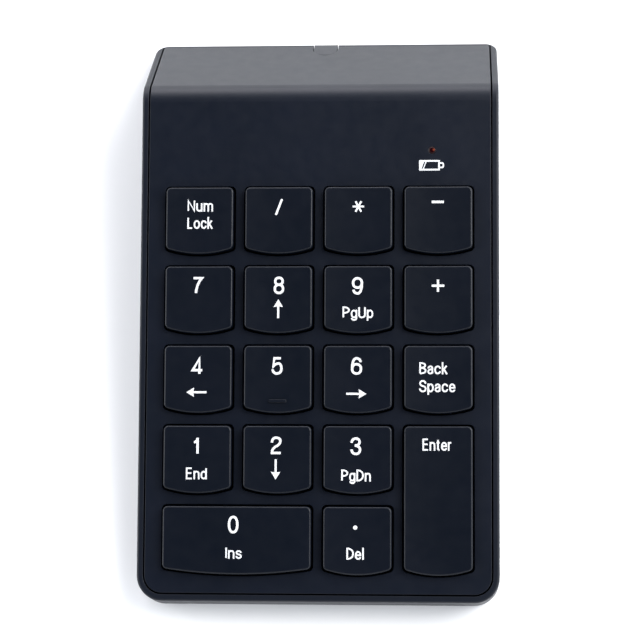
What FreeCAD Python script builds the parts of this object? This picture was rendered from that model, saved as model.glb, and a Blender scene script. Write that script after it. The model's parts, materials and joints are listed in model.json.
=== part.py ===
import FreeCAD, Part
import math
import os
import Sketcher

# Wireless numeric keypad. Millimetres, +X right, +Y towards the rear, +Z up.
# The origin is on the desk, under the middle of the keypad.

DIMENSIONS = {
    # Case outline
    "case_length": 141.0, "case_width": 86.0, "front_height": 10.0,
    "deck_tilt": 7.0, "rear_angle": 50.0, "rear_edge_height": 2.0, "ridge_radius": 5.5,
    "front_corner": 6.0, "rear_corner": 3.0, "edge_round": 0.6,
    "rim_width": 1.5, "seam_gap": 0.4, "cover_wall": 1.8, "cover_play": 0.3,
    "foot_height": 1.2, "floor_thickness": 1.6, "stock_top": 30.0,
    # Hooks on the cover's front edge, which catch in slots in the tub's front wall
    "hook_x": 23.0, "hook_half_width": 3.0, "hook_low": 5.6, "hook_high": 6.8, "hook_play": 0.3,
    "hook_reach": 0.9, "hook_root_top": 9.0,
    # Keys: gap lines are the middle of the slot round each key
    "key_pitch": 19.05, "key_gap_width": 16.62, "key_gap_side": 15.1, "key_bulge": 1.4,
    "half_gap": 0.22, "first_row": 98.8, "key_rise": 2.0, "skirt_depth": 3.0,
    "cap_wall": 1.0, "cap_roof": 1.2, "key_edge_round": 0.45, "key_corner": 1.2,
    "plunger_diameter": 5.8, "plunger_depth": 3.4,
    "dish_depth": 0.25,
    # Key wells and guide chimneys under the deck: a well takes the skirt and 2 mm of travel
    "well_depth": 5.2, "field_depth": 6.0, "field_half_width": 38.9,
    "field_front": 4.8, "field_rear": 100.3,
    "chimney_diameter": 10.6, "dome_room_diameter": 9.0, "dome_room_top": 3.2, "chimney_top": 1.4,
    "guide_clearance": 0.05,
    # Contact stack below the wells
    "membrane_thickness": 0.4, "plate_thickness": 0.8, "plate_post_diameter": 4.0, "plate_gap": 0.02,
    "dome_foot_diameter": 8.4, "dome_top_diameter": 4.6, "dome_wall": 0.5,
    # Stabilizer wires
    "wire_diameter": 1.0, "wire_arm": 6.15, "wire_half_span": 13.0, "wire_rest": 2.3,
    "wire_pivot": 3.3, "wire_foot": 2.4, "wire_play": 0.05, "wire_clip_play": 0.1,
    "clip_width": 1.2, "clip_half_length": 1.2, "hook_post_width": 1.6, "hook_post_length": 2.4,
    # Indicator lamp
    "lamp_x": 27.05, "lamp_along": 107.6, "lens_diameter": 1.7,
    # Circuit board
    "board_half_width": 30.0, "board_front": 101.6, "board_rear": 117.6, "board_top": 6.4,
    "board_thickness": 1.2, "board_post_x": 24.0, "board_post_along": 104.2, "board_post_diameter": 4.4,
    "board_screw_diameter": 1.6, "tail_half_width": 7.0, "tail_end": 104.8,
    # Battery bay and door
    "bay_half_width": 25.2, "bay_front": 36.8, "bay_rear": 63.6, "bay_top": 13.8, "bay_wall": 1.2,
    "bay_overhang": 3.0, "door_clearance": 0.25, "door_lap": 0.5,
    "tongue_half_width": 2.95, "tongue_height": 7.3, "tongue_round": 2.75, "tongue_play": 0.2,
    "lug_x": 18.0, "lug_half_width": 3.0, "lug_reach": 2.4, "lug_top": 1.35, "lug_play": 0.3,
    "cell_diameter": 10.5, "cell_length": 43.7, "cell_nub": 0.8, "cell_height": 8.25,
    "front_cell": 43.0, "rear_cell": 54.3, "cell_shift": 2.15, "cell_bevel": 0.4, "nub_radius": 1.9,
    "contact_thickness": 0.4, "contact_half_width": 4.0, "contact_low": 4.4, "contact_high": 12.2,
    "spring_wire": 0.5, "spring_diameter": 5.0, "spring_turns": 4,
    # Screws and feet
    "boss_x": 36.4, "boss_y": 36.0, "boss_diameter": 6.0, "boss_top": 9.0,
    "screw_diameter": 2.0, "screw_head": 3.8, "screw_length": 11.0, "screw_recess": 4.0,
    "screw_head_height": 1.5, "screw_socket": 1.2,
    "foot_diameter": 8.0, "foot_x": 34.0, "foot_y": 60.0, "foot_recess": 0.4,
    # Power switch on the underside
    "switch_y": 20.0, "switch_travel": 3.0, "switch_slot_half_length": 4.2, "switch_slot_half_width": 1.9,
    "knob_half_length": 1.7, "knob_half_width": 1.6, "grip_shift": 0.7, "grip_half_width": 0.2,
}

# Column and row of each key's top left unit, and how many units it covers across and down.
KEYS = {
    "num_lock": (0, 0, 1, 1), "divide": (1, 0, 1, 1), "multiply": (2, 0, 1, 1), "minus": (3, 0, 1, 1),
    "7": (0, 1, 1, 1), "8": (1, 1, 1, 1), "9": (2, 1, 1, 1), "plus": (3, 1, 1, 1),
    "4": (0, 2, 1, 1), "5": (1, 2, 1, 1), "6": (2, 2, 1, 1), "backspace": (3, 2, 1, 1),
    "1": (0, 3, 1, 1), "2": (1, 3, 1, 1), "3": (2, 3, 1, 1), "enter": (3, 3, 1, 2),
    "0": (0, 4, 2, 1), "decimal": (2, 4, 1, 1),
}

# How far up the deck the three rows of posts under the support plate stand
PLATE_POST_ROWS = (14.0, 52.0, 90.0)

# Parts on the circuit board: across, up the deck, width, length, height
BOARD_PARTS = [
    (-14, 111, 8, 8, 1.4), (2, 112, 6, 6, 1.1), (10.5, 112, 5, 3.2, 1.6), (-22, 112, 3.2, 1.6, 1.0),
    (-22, 115, 3.2, 1.6, 1.0), (17, 112, 2, 1.2, 0.8), (17, 115, 2, 1.2, 0.8),
]

X_AXIS = FreeCAD.Vector(1, 0, 0)
SIDES = ("-1", "1")
# A cut that goes right through, and how far a cutting outline reaches past the case
FAR = "200"
BEYOND = "20"
# How far an added shape sinks into what it stands on
ROOT = "0.5"

doc = FreeCAD.newDocument("NumericKeypad")
sheet = doc.addObject("Spreadsheet::Sheet", "Dims")
for row, (word, value) in enumerate(DIMENSIONS.items(), start=1):
    sheet.set(f"A{row}", word)
    sheet.set(f"B{row}", str(value))
    sheet.setAlias(f"B{row}", word)
doc.recompute()

# ---------------------------------------------------------------- expressions for shared places

LENGTH = "Dims.case_length"
TILT = "Dims.deck_tilt"
FLOOR_TOP = "(Dims.foot_height + Dims.floor_thickness)"
COVER_FRONT = f"(-{LENGTH}/2 + Dims.rim_width + Dims.seam_gap)"


def deck_height(y, depth="0"):
    """Height, at y, of the plane that lies depth below the deck surface."""
    return f"(Dims.front_height - ({depth})/cos({TILT}) + (({y}) + {LENGTH}/2)*tan({TILT}))"


def rear_face_y(z, depth="0"):
    """Where the plane that lies depth inside the rear face has the height z."""
    return (f"({LENGTH}/2 - (({z}) - Dims.rear_edge_height"
            f" + ({depth})/cos(Dims.rear_angle))/tan(Dims.rear_angle))")


def ridge(depth="0"):
    """The line where the deck plane and the rear plane meet, both taken depth inside the case."""
    y = (f"((Dims.rear_edge_height - ({depth})/cos(Dims.rear_angle) - Dims.front_height"
         f" + ({depth})/cos({TILT}) + {LENGTH}/2*(tan(Dims.rear_angle) - tan({TILT})))"
         f"/(tan(Dims.rear_angle) + tan({TILT})))")
    return y, deck_height(y, depth)


def on_deck_y(along, up="0"):
    return f"(-{LENGTH}/2 + ({along})*cos({TILT}) - ({up})*sin({TILT}))"


def on_deck_z(along, up="0"):
    return f"(Dims.front_height + ({along})*sin({TILT}) + ({up})*cos({TILT}))"


def key_centre_x(key):
    column, _, across, _ = KEYS[key]
    return f"(({column} + ({across} - 1)/2 - 1.5)*Dims.key_pitch)"


def key_top_along(key):
    """Distance up the deck from the front edge to the gap line above a key."""
    return f"(Dims.first_row - {KEYS[key][1]}*Dims.key_pitch)"


def key_width(key):
    return f"(Dims.key_gap_width + {KEYS[key][2] - 1}*Dims.key_pitch)"


def key_side(key):
    return f"(Dims.key_gap_side + {KEYS[key][3] - 1}*Dims.key_pitch)"


def key_middle(key):
    """From the gap line above a key down to the axis of its plunger."""
    return f"(({key_side(key)} + Dims.key_bulge)/2)"


# ---------------------------------------------------------------- helpers for bodies and sketches

def new_body(label):
    body = doc.addObject("PartDesign::Body", "Body_" + label)
    body.Label = label
    return body


def lay_on_deck(body, x="0", along="0", up="0"):
    """Turns a body into the deck's slope and puts its origin at a place on the deck."""
    body.Placement = FreeCAD.Placement(FreeCAD.Vector(), FreeCAD.Rotation(X_AXIS, DIMENSIONS["deck_tilt"]))
    body.setExpression("Placement.Rotation.Angle", TILT)
    body.setExpression("Placement.Base.x", x)
    body.setExpression("Placement.Base.y", on_deck_y(along, up))
    body.setExpression("Placement.Base.z", on_deck_z(along, up))


def new_sketch(body, plane="XY_Plane", offset="0"):
    sketch = body.newObject("Sketcher::SketchObject", "Sketch")
    support = [feature for feature in body.Origin.OriginFeatures if feature.Role == plane][0]
    sketch.AttachmentSupport = [(support, "")]
    sketch.MapMode = "FlatFace"
    sketch.setExpression("AttachmentOffset.Base.z", offset)
    return sketch


def new_deck_sketch(body, up="0"):
    """A sketch in the slope of the deck, for a body that stands square in the case."""
    sketch = new_sketch(body)
    sketch.AttachmentOffset = FreeCAD.Placement(
        FreeCAD.Vector(), FreeCAD.Rotation(X_AXIS, DIMENSIONS["deck_tilt"]))
    sketch.setExpression("AttachmentOffset.Rotation.Angle", TILT)
    sketch.setExpression("AttachmentOffset.Base.y", on_deck_y("0", up))
    sketch.setExpression("AttachmentOffset.Base.z", on_deck_z("0", up))
    return sketch


def fix_point(sketch, geometry, end, x, y):
    """Ties a point's place to expressions, starting from where the point was drawn."""
    drawn = sketch.getPoint(geometry, end)
    for kind, value, start in (("DistanceX", x, drawn.x), ("DistanceY", y, drawn.y)):
        index = sketch.addConstraint(Sketcher.Constraint(kind, -1, 1, geometry, end, start))
        sketch.setExpression(f"Constraints[{index}]", str(value))


def polygon(sketch, points):
    """A closed outline with straight sides, every corner tied to the sheet."""
    count = len(points)
    first = sketch.GeometryCount
    start = Part.makeCircle(10).discretize(count + 1)
    for index in range(count):
        sketch.addGeometry(Part.LineSegment(start[index], start[index + 1]), False)
    for index in range(count):
        following = first + (index + 1) % count
        sketch.addConstraint(Sketcher.Constraint("Coincident", first + index, 2, following, 1))
    for index, (x, y) in enumerate(points):
        fix_point(sketch, first + index, 1, x, y)
    return sketch


def rectangle(sketch, x_low, y_low, x_high, y_high):
    return polygon(sketch, [(x_low, y_low), (x_high, y_low), (x_high, y_high), (x_low, y_high)])


def circle(sketch, x, y, diameter):
    geometry = sketch.addGeometry(Part.Circle(FreeCAD.Vector(), FreeCAD.Vector(0, 0, 1), 3.0), False)
    fix_point(sketch, geometry, 3, x, y)
    index = sketch.addConstraint(Sketcher.Constraint("Diameter", geometry, 6.0))
    sketch.setExpression(f"Constraints[{index}]", diameter)
    return sketch


def pad(body, sketch, length, symmetric=False):
    feature = body.newObject("PartDesign::Pad", "Pad")
    feature.Profile = sketch
    feature.SideType = "Symmetric" if symmetric else "One side"
    feature.setExpression("Length", length)
    return feature


def pocket(body, sketch, depth, symmetric=False):
    feature = body.newObject("PartDesign::Pocket", "Pocket")
    feature.Profile = sketch
    feature.SideType = "Symmetric" if symmetric else "One side"
    feature.setExpression("Length", depth)
    return feature


def revolve(body, sketch):
    feature = body.newObject("PartDesign::Revolution", "Revolution")
    feature.Profile = sketch
    feature.ReferenceAxis = (sketch, ["V_Axis"])
    feature.Angle = 360
    return feature


def block(body, x_range, y_range, z_range):
    sketch = rectangle(new_sketch(body, offset=z_range[0]), x_range[0], y_range[0], x_range[1], y_range[1])
    return pad(body, sketch, f"({z_range[1]}) - ({z_range[0]})")


def hollow(body, x_range, y_range, z_range):
    sketch = rectangle(new_sketch(body, offset=z_range[1]), x_range[0], y_range[0], x_range[1], y_range[1])
    return pocket(body, sketch, f"({z_range[1]}) - ({z_range[0]})")


def post(body, x, y, diameter, z_range):
    return pad(body, circle(new_sketch(body, offset=z_range[0]), x, y, diameter),
               f"({z_range[1]}) - ({z_range[0]})")


def bore(body, x, y, diameter, z_range):
    return pocket(body, circle(new_sketch(body, offset=z_range[1]), x, y, diameter),
                  f"({z_range[1]}) - ({z_range[0]})")


def fillet(body, chosen, radius):
    """Rounds the edges for which chosen(edge) is true."""
    doc.recompute()
    base = body.Tip
    names = [f"Edge{number}" for number, edge in enumerate(base.Shape.Edges, start=1) if chosen(edge)]
    feature = body.newObject("PartDesign::Fillet", "Fillet")
    feature.Base = (base, names)
    feature.setExpression("Radius", radius)
    return feature


def is_upright(edge):
    box = edge.BoundBox
    return max(box.XLength, box.YLength) < 0.01


def is_front_upright(edge):
    return is_upright(edge) and edge.CenterOfMass.y < 0


def is_rear_upright(edge):
    return is_upright(edge) and edge.CenterOfMass.y > 0


def is_bottom_edge(edge):
    """An edge of the case's underside."""
    return near(edge.BoundBox.ZMax, DIMENSIONS["foot_height"])


def near(value, target, tolerance=0.05):
    return abs(value - target) < tolerance


# ---------------------------------------------------------------- outlines used more than once

def cut_above(body):
    """Removes everything above the deck plane and behind the rear plane."""
    low_y = f"(-{LENGTH}/2 - {BEYOND})"
    high_y = f"({LENGTH}/2 + {BEYOND})"
    high_z = f"(Dims.stock_top + {BEYOND})"
    sketch = polygon(new_sketch(body, "YZ_Plane"), [
        (low_y, deck_height(low_y)), ridge(), (rear_face_y("0"), "0"),
        (high_y, "0"), (high_y, high_z), (low_y, high_z)])
    return pocket(body, sketch, FAR, symmetric=True)


def key_outline(sketch, key, inset, on_case=False):
    """A key's outline: straight top and sides, and a lower edge that bulges towards the user.

    It is drawn in the key's own frame, or where the key lies on the deck.
    """
    x = key_centre_x(key) if on_case else "0"
    top = key_top_along(key) if on_case else "0"
    size = DIMENSIONS
    column, row, across, down = KEYS[key]
    half = (size["key_gap_width"] + (across - 1) * size["key_pitch"]) / 2
    high = size["key_gap_side"] + (down - 1) * size["key_pitch"]
    start_x = (column + (across - 1) / 2 - 1.5) * size["key_pitch"] if on_case else 0
    start_y = size["first_row"] - row * size["key_pitch"] if on_case else 0
    corners = [FreeCAD.Vector(start_x + side * half, start_y - drop, 0)
               for side, drop in ((-1, 0), (1, 0), (1, high), (-1, high))]
    lowest = FreeCAD.Vector(start_x, start_y - high - size["key_bulge"], 0)
    first = sketch.GeometryCount
    sketch.addGeometry(Part.LineSegment(corners[0], corners[1]), False)
    sketch.addGeometry(Part.LineSegment(corners[1], corners[2]), False)
    sketch.addGeometry(Part.Arc(corners[3], lowest, corners[2]), False)
    sketch.addGeometry(Part.LineSegment(corners[3], corners[0]), False)
    top_line, right_line, arc, left_line = range(first, first + 4)
    sketch.addConstraint(Sketcher.Constraint("Coincident", top_line, 2, right_line, 1))
    sketch.addConstraint(Sketcher.Constraint("Coincident", right_line, 2, arc, 2))
    sketch.addConstraint(Sketcher.Constraint("Coincident", arc, 1, left_line, 1))
    sketch.addConstraint(Sketcher.Constraint("Coincident", left_line, 2, top_line, 1))
    half_width = f"({key_width(key)}/2 - ({inset}))"
    upper = f"({top}) - ({inset})"
    lower = f"({top}) - {key_side(key)} + ({inset})"
    fix_point(sketch, top_line, 1, f"({x}) - {half_width}", upper)
    fix_point(sketch, top_line, 2, f"({x}) + {half_width}", upper)
    fix_point(sketch, right_line, 2, f"({x}) + {half_width}", lower)
    fix_point(sketch, left_line, 1, f"({x}) - {half_width}", lower)
    start_radius = (half ** 2 + size["key_bulge"] ** 2) / (2 * size["key_bulge"])
    index = sketch.addConstraint(Sketcher.Constraint("Radius", arc, start_radius))
    sketch.setExpression(f"Constraints[{index}]",
                         f"({half_width}^2 + Dims.key_bulge^2)/(2*Dims.key_bulge)")
    return sketch


# ---------------------------------------------------------------- case

def make_bottom_case():
    """The tub: floor, rim walls, battery bay, screw bosses and posts under the support plate."""
    body = new_body("bottom_case")
    half_width = "Dims.case_width/2"
    block(body, (f"-{half_width}", half_width), (f"-{LENGTH}/2", f"{LENGTH}/2"),
          ("Dims.foot_height", "Dims.stock_top"))
    fillet(body, is_front_upright, "Dims.front_corner")
    fillet(body, is_rear_upright, "Dims.rear_corner")
    cut_above(body)
    fillet(body, is_ridge_line, "Dims.ridge_radius")
    fillet(body, is_rim_outer_edge, "Dims.edge_round")
    fillet(body, is_bottom_edge, "Dims.edge_round")
    hollow_tub(body)
    add_battery_bay(body)
    cut_door_opening(body)
    add_tub_bosses(body)
    add_plate_posts(body)
    # Slots in the front wall for the cover's hooks
    for side in SIDES:
        slot_half = "(Dims.hook_half_width + Dims.hook_play)"
        hollow(body, (f"{side}*Dims.hook_x - {slot_half}", f"{side}*Dims.hook_x + {slot_half}"),
               (f"-{LENGTH}/2 + Dims.hook_reach - 0.2", f"-{LENGTH}/2 + Dims.rim_width + 0.2"),
               ("Dims.hook_low - Dims.hook_play", "Dims.hook_high + Dims.hook_play"))
    # Opening for the switch knob, and recesses for the feet
    hollow(body, ("-Dims.switch_slot_half_length", "Dims.switch_slot_half_length"),
           ("Dims.switch_y - Dims.switch_slot_half_width", "Dims.switch_y + Dims.switch_slot_half_width"),
           ("0", FLOOR_TOP))
    for x_side in SIDES:
        for y_side in SIDES:
            bore(body, f"{x_side}*Dims.foot_x", f"{y_side}*Dims.foot_y", "Dims.foot_diameter + 0.2",
                 ("0", "Dims.foot_height + Dims.foot_recess"))
    return body


def hollow_tub(body):
    """The inside of the tub: open at the rear, with round front corners."""
    inner_half = "(Dims.case_width/2 - Dims.rim_width)"
    inner_front = f"(-{LENGTH}/2 + Dims.rim_width)"
    corner = "(Dims.front_corner - Dims.rim_width)"
    inside = (FLOOR_TOP, "Dims.stock_top")
    hollow(body, (f"-{inner_half}", inner_half),
           (f"{inner_front} + {corner}", f"{LENGTH}/2 + {BEYOND}"), inside)
    hollow(body, (f"{corner} - {inner_half}", f"{inner_half} - {corner}"),
           (inner_front, f"{inner_front} + {corner} + 1"), inside)
    for side in SIDES:
        bore(body, f"{side}*({inner_half} - {corner})", f"{inner_front} + {corner}", f"2*{corner}", inside)


def add_battery_bay(body):
    """A box over the door opening, closed at the rear by the cover's rear face."""
    outer_half = "(Dims.bay_half_width + Dims.bay_wall)"
    outer = rectangle(new_sketch(body, "YZ_Plane"), "Dims.bay_front - Dims.bay_wall", f"{FLOOR_TOP} - {ROOT}",
                      "Dims.bay_rear + Dims.bay_overhang", "Dims.bay_top + Dims.bay_wall")
    pad(body, outer, f"2*{outer_half}", symmetric=True)
    clear = "(Dims.cover_wall + Dims.cover_play)"
    before_bay = "(Dims.bay_front - Dims.bay_wall - 1)"
    high_y, high_z = f"({LENGTH}/2 + {BEYOND})", f"(Dims.stock_top + {BEYOND})"
    under_cover = polygon(new_sketch(body, "YZ_Plane"), [
        (before_bay, deck_height(before_bay, clear)), ridge(clear),
        (rear_face_y(FLOOR_TOP, clear), FLOOR_TOP), (high_y, FLOOR_TOP),
        (high_y, high_z), (before_bay, high_z)])
    pocket(body, under_cover, f"2*{outer_half} + 1", symmetric=True)
    inside = ("-Dims.bay_half_width", "Dims.bay_half_width")
    hollow(body, inside, ("Dims.bay_front", "Dims.bay_rear"), ("0", "Dims.bay_top"))
    hollow(body, inside, ("Dims.bay_front", "Dims.bay_rear + Dims.bay_overhang + 0.2"),
           (FLOOR_TOP, "Dims.bay_top"))


def cut_door_opening(body):
    """The opening in the floor for the door, its rear tongue and its two front lugs."""
    door_half = "(Dims.bay_half_width + Dims.door_lap + Dims.door_clearance)"
    hollow(body, (f"-{door_half}", door_half), ("Dims.bay_front - 0.05", "Dims.bay_rear + 0.15"),
           ("0", FLOOR_TOP))
    tongue_half = "(Dims.tongue_half_width + Dims.tongue_play)"
    hollow(body, (f"-{tongue_half}", tongue_half), ("Dims.bay_rear", f"{LENGTH}/2 + {BEYOND}"),
           ("0", FLOOR_TOP))
    for side in SIDES:
        slot_half = "(Dims.lug_half_width + Dims.lug_play)"
        hollow(body, (f"{side}*Dims.lug_x - {slot_half}", f"{side}*Dims.lug_x + {slot_half}"),
               ("Dims.bay_front - Dims.bay_wall - 0.2", "Dims.bay_front + 0.1"),
               (FLOOR_TOP, f"{FLOOR_TOP} + Dims.lug_top + 1.05"))


def add_tub_bosses(body):
    """Screw bosses on the floor, each with a recess for its screw's head."""
    for side in SIDES:
        place = (f"{side}*Dims.boss_x", "Dims.boss_y")
        post(body, *place, "Dims.boss_diameter", (f"{FLOOR_TOP} - {ROOT}", "Dims.boss_top"))
        bore(body, *place, "Dims.screw_diameter + 0.3", ("0", "Dims.boss_top + 1"))
        bore(body, *place, "Dims.screw_head + 0.6", ("0", "Dims.foot_height + Dims.screw_recess"))


def add_plate_posts(body):
    """Posts that carry the support plate, cut off along its slope."""
    for side in SIDES:
        for along in PLATE_POST_ROWS:
            post(body, f"{side}*Dims.key_pitch", on_deck_y(str(along)), "Dims.plate_post_diameter",
                 (f"{FLOOR_TOP} - {ROOT}", "Dims.stock_top"))
    plate_bottom = "(Dims.field_depth + Dims.membrane_thickness + Dims.plate_thickness + Dims.plate_gap)"
    low_y = f"(-{LENGTH}/2 + 2*Dims.rim_width)"
    high_y = "(Dims.bay_front - Dims.bay_wall - 9.6)"
    high_z = f"(Dims.stock_top + {BEYOND})"
    above_plate = polygon(new_sketch(body, "YZ_Plane"), [
        (low_y, deck_height(low_y, plate_bottom)), (high_y, deck_height(high_y, plate_bottom)),
        (high_y, high_z), (low_y, high_z)])
    pocket(body, above_plate, "2*(Dims.case_width/2 - Dims.rim_width - 1)", symmetric=True)


def is_ridge_line(edge):
    """The straight line across the case where the deck meets the rear face."""
    box = edge.BoundBox
    return box.XLength > 50 and box.ZLength < 0.01 and box.ZMin > 20


def is_rim_outer_edge(edge):
    """The outer edge of the deck, from the front round both sides to the ridge."""
    middle = edge.CenterOfMass
    size = DIMENSIONS
    half_width, half_length = size["case_width"] / 2, size["case_length"] / 2
    rise = (middle.y + half_length) * math.tan(math.radians(size["deck_tilt"]))
    in_corner = abs(middle.x) > half_width - 2.5 and middle.y < -half_length + 2.5
    outermost = abs(middle.x) > half_width - 0.5 or middle.y < -half_length + 0.5 or in_corner
    on_deck = near(middle.z, size["front_height"] + rise, 0.3)
    return on_deck and edge.BoundBox.ZMin > size["front_height"] - 1 and outermost


def make_top_case():
    """The cover: deck, ridge and rear face, with the key wells and guide chimneys under the deck."""
    body = new_body("top_case")
    half_width = "(Dims.case_width/2 - Dims.rim_width - Dims.seam_gap)"
    block(body, (f"-{half_width}", half_width), (COVER_FRONT, f"{LENGTH}/2"),
          (f"{FLOOR_TOP} + 0.1", "Dims.stock_top"))
    fillet(body, is_front_upright, "Dims.front_corner - Dims.rim_width - Dims.seam_gap")
    fillet(body, is_rear_upright, "Dims.rear_corner - Dims.rim_width")
    cut_above(body)
    fillet(body, is_ridge_line, "Dims.ridge_radius")
    low_y = f"(-{LENGTH}/2 - {BEYOND})"
    inside = polygon(new_sketch(body, "YZ_Plane"), [
        (low_y, f"-{BEYOND}"), (rear_face_y(f"-{BEYOND}", "Dims.cover_wall"), f"-{BEYOND}"),
        ridge("Dims.cover_wall"), (low_y, deck_height(low_y, "Dims.cover_wall"))])
    pocket(body, inside, FAR, symmetric=True)
    add_key_field(body)
    make_wire_hooks(body)
    # Lamp hole
    pocket(body, circle(new_deck_sketch(body, "1"), "Dims.lamp_x", "Dims.lamp_along",
                        "Dims.lens_diameter + 0.1"), "6")
    add_cover_posts(body)
    add_cover_hooks(body)
    cut_tongue_notch(body)
    return body


def add_key_field(body):
    """A deep block under the deck, with one well, one guide chimney and one dome room for each key."""
    field = rectangle(new_deck_sketch(body, "-Dims.field_depth"), "-Dims.field_half_width",
                      "Dims.field_front", "Dims.field_half_width", "Dims.field_rear")
    pad(body, field, "Dims.field_depth - 1")
    for key in KEYS:
        well = key_outline(new_deck_sketch(body), key, "-Dims.half_gap", on_case=True)
        pocket(body, well, "Dims.well_depth")
    fillet(body, is_well_corner, "Dims.key_corner")
    for diameter, low, high, feature in (
            ("Dims.chimney_diameter", "-Dims.field_depth", "-Dims.chimney_top", pad),
            ("Dims.dome_room_diameter", "-Dims.field_depth", "-Dims.dome_room_top", pocket),
            ("Dims.plunger_diameter + 2*Dims.guide_clearance", "-Dims.field_depth", "1", pocket)):
        sketch = new_deck_sketch(body, low if feature is pad else high)
        for key in KEYS:
            circle(sketch, key_centre_x(key), f"{key_top_along(key)} - {key_middle(key)}", diameter)
        feature(body, sketch, f"({high}) - ({low})")


def add_cover_posts(body):
    """Posts under the deck that take the case screws, and pillars that carry the circuit board."""
    for side in SIDES:
        place = (f"{side}*Dims.boss_x", "Dims.boss_y")
        post(body, *place, "Dims.boss_diameter", ("Dims.boss_top + 0.1", deck_height("Dims.boss_y", "0.8")))
        bore(body, *place, "Dims.screw_diameter - 0.1", ("0", "Dims.boss_top + 8"))
        pillar = (f"{side}*Dims.board_post_x", "Dims.board_post_along")
        pad(body, circle(new_deck_sketch(body, "-Dims.board_top"), *pillar, "Dims.board_post_diameter"),
            "Dims.board_top - 1")
        pocket(body, circle(new_deck_sketch(body, "-2.4"), *pillar, "Dims.board_screw_diameter - 0.1"),
               "Dims.board_top")


def add_cover_hooks(body):
    """Two hooks that catch in the front wall of the tub."""
    for side in SIDES:
        hook_side = (f"{side}*Dims.hook_x - Dims.hook_half_width",
                     f"{side}*Dims.hook_x + Dims.hook_half_width")
        block(body, hook_side, (f"{COVER_FRONT} + 0.1", f"{COVER_FRONT} + 1.5"),
              ("Dims.hook_low", "Dims.hook_root_top"))
        block(body, hook_side, (f"-{LENGTH}/2 + Dims.hook_reach", f"{COVER_FRONT} + 0.2"),
              ("Dims.hook_low", "Dims.hook_high"))


def cut_tongue_notch(body):
    """The notch for the battery door's tongue in the rear face: straight sides with a round top."""
    half = "(Dims.tongue_half_width + Dims.tongue_play)"
    round_centre = f"(Dims.tongue_height + Dims.tongue_play - {half})"
    behind = f"(4.5 - {LENGTH}/2)"
    straight = rectangle(new_sketch(body, "XZ_Plane", behind), f"-{half}", "0", half, round_centre)
    pocket(body, straight, "14", symmetric=True)
    rounded = circle(new_sketch(body, "XZ_Plane", behind), "0", round_centre, f"2*{half}")
    pocket(body, rounded, "14", symmetric=True)


def is_well_corner(edge):
    """A straight corner edge of a key well: as long as the well is deep, square to the deck."""
    box = edge.BoundBox
    depth = DIMENSIONS["well_depth"]
    upright_part = depth * math.cos(math.radians(DIMENSIONS["deck_tilt"]))
    return box.XLength < 0.01 and near(edge.Length, depth, 0.01) and near(box.ZLength, upright_part, 0.02)


def make_wire_hooks(body):
    """Small slotted posts in the wells of the double keys, in which the wire ends turn."""
    low = "-Dims.well_depth - 0.4"
    height = "Dims.well_depth + 0.4 - Dims.wire_pivot + 0.8"
    thin, thick = "Dims.hook_post_width/2", "Dims.hook_post_length/2"
    slot_play = "(Dims.wire_diameter/2 + Dims.wire_play)"
    for key in ("0", "enter"):
        for side in SIDES:
            along_key = f"({side}*(Dims.wire_half_span - 2))"
            middle = f"{key_top_along(key)} - {key_middle(key)}"
            centre = (f"{key_centre_x(key)}", middle)
            long_x, long_y = (along_key, "0") if key == "0" else ("0", along_key)
            half_x, half_y = (thin, thick) if key == "0" else (thick, thin)
            slot_x, slot_y = ("2", slot_play) if key == "0" else (slot_play, "2")
            middle_x, middle_y = f"({centre[0]} + {long_x})", f"({centre[1]} + {long_y})"
            hook = rectangle(new_deck_sketch(body, low), f"{middle_x} - {half_x}", f"{middle_y} - {half_y}",
                             f"{middle_x} + {half_x}", f"{middle_y} + {half_y}")
            pad(body, hook, height)
            slot = rectangle(new_deck_sketch(body, "-2"), f"{middle_x} - {slot_x}", f"{middle_y} - {slot_y}",
                             f"{middle_x} + {slot_x}", f"{middle_y} + {slot_y}")
            pocket(body, slot, f"Dims.wire_pivot + {slot_play} - 2")


# ---------------------------------------------------------------- keys and what is under them

def make_key(key):
    """A key cap with its plunger, origin on the deck at the middle of the gap above the key."""
    body = new_body("key_" + key)
    lay_on_deck(body, key_centre_x(key), key_top_along(key))
    outer = key_outline(new_sketch(body, offset="-Dims.skirt_depth"), key, "Dims.half_gap")
    pad(body, outer, "Dims.skirt_depth + Dims.key_rise")
    fillet(body, is_upright, "Dims.key_corner")
    make_dish(body, key)
    fillet(body, is_cap_edge, "Dims.key_edge_round")
    inner = key_outline(new_sketch(body, offset="Dims.key_rise - Dims.cap_roof"), key,
                        "Dims.half_gap + Dims.cap_wall")
    pocket(body, inner, "Dims.key_rise - Dims.cap_roof + Dims.skirt_depth + 1")
    plunger = circle(new_sketch(body, offset="-Dims.plunger_depth"), "0", f"-{key_middle(key)}",
                     "Dims.plunger_diameter")
    pad(body, plunger, "Dims.plunger_depth + Dims.key_rise - Dims.cap_roof + 0.3")
    if key in ("0", "enter"):
        make_wire_clips(body, key)
    if key == "5":
        block(body, ("-2", "2"), ("-13.7", "-13.1"), ("Dims.key_rise - 0.5", "Dims.key_rise + 0.2"))
    return body


def make_dish(body, key):
    """The hollow of the cap's top face: a shallow cylinder along the key's length."""
    sketch = new_sketch(body, "XZ_Plane", "-1")
    half_width = f"({key_width(key)}/2 - Dims.half_gap)"
    radius = f"({half_width}^2 + Dims.dish_depth^2)/(2*Dims.dish_depth)"
    circle(sketch, "0", f"Dims.key_rise - Dims.dish_depth + {radius}", f"2*({radius})")
    pocket(body, sketch, FAR, symmetric=True)


def is_cap_edge(edge):
    """An edge of the cap's top face."""
    return edge.BoundBox.ZMin > DIMENSIONS["key_rise"] - DIMENSIONS["dish_depth"] - 0.05


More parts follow.
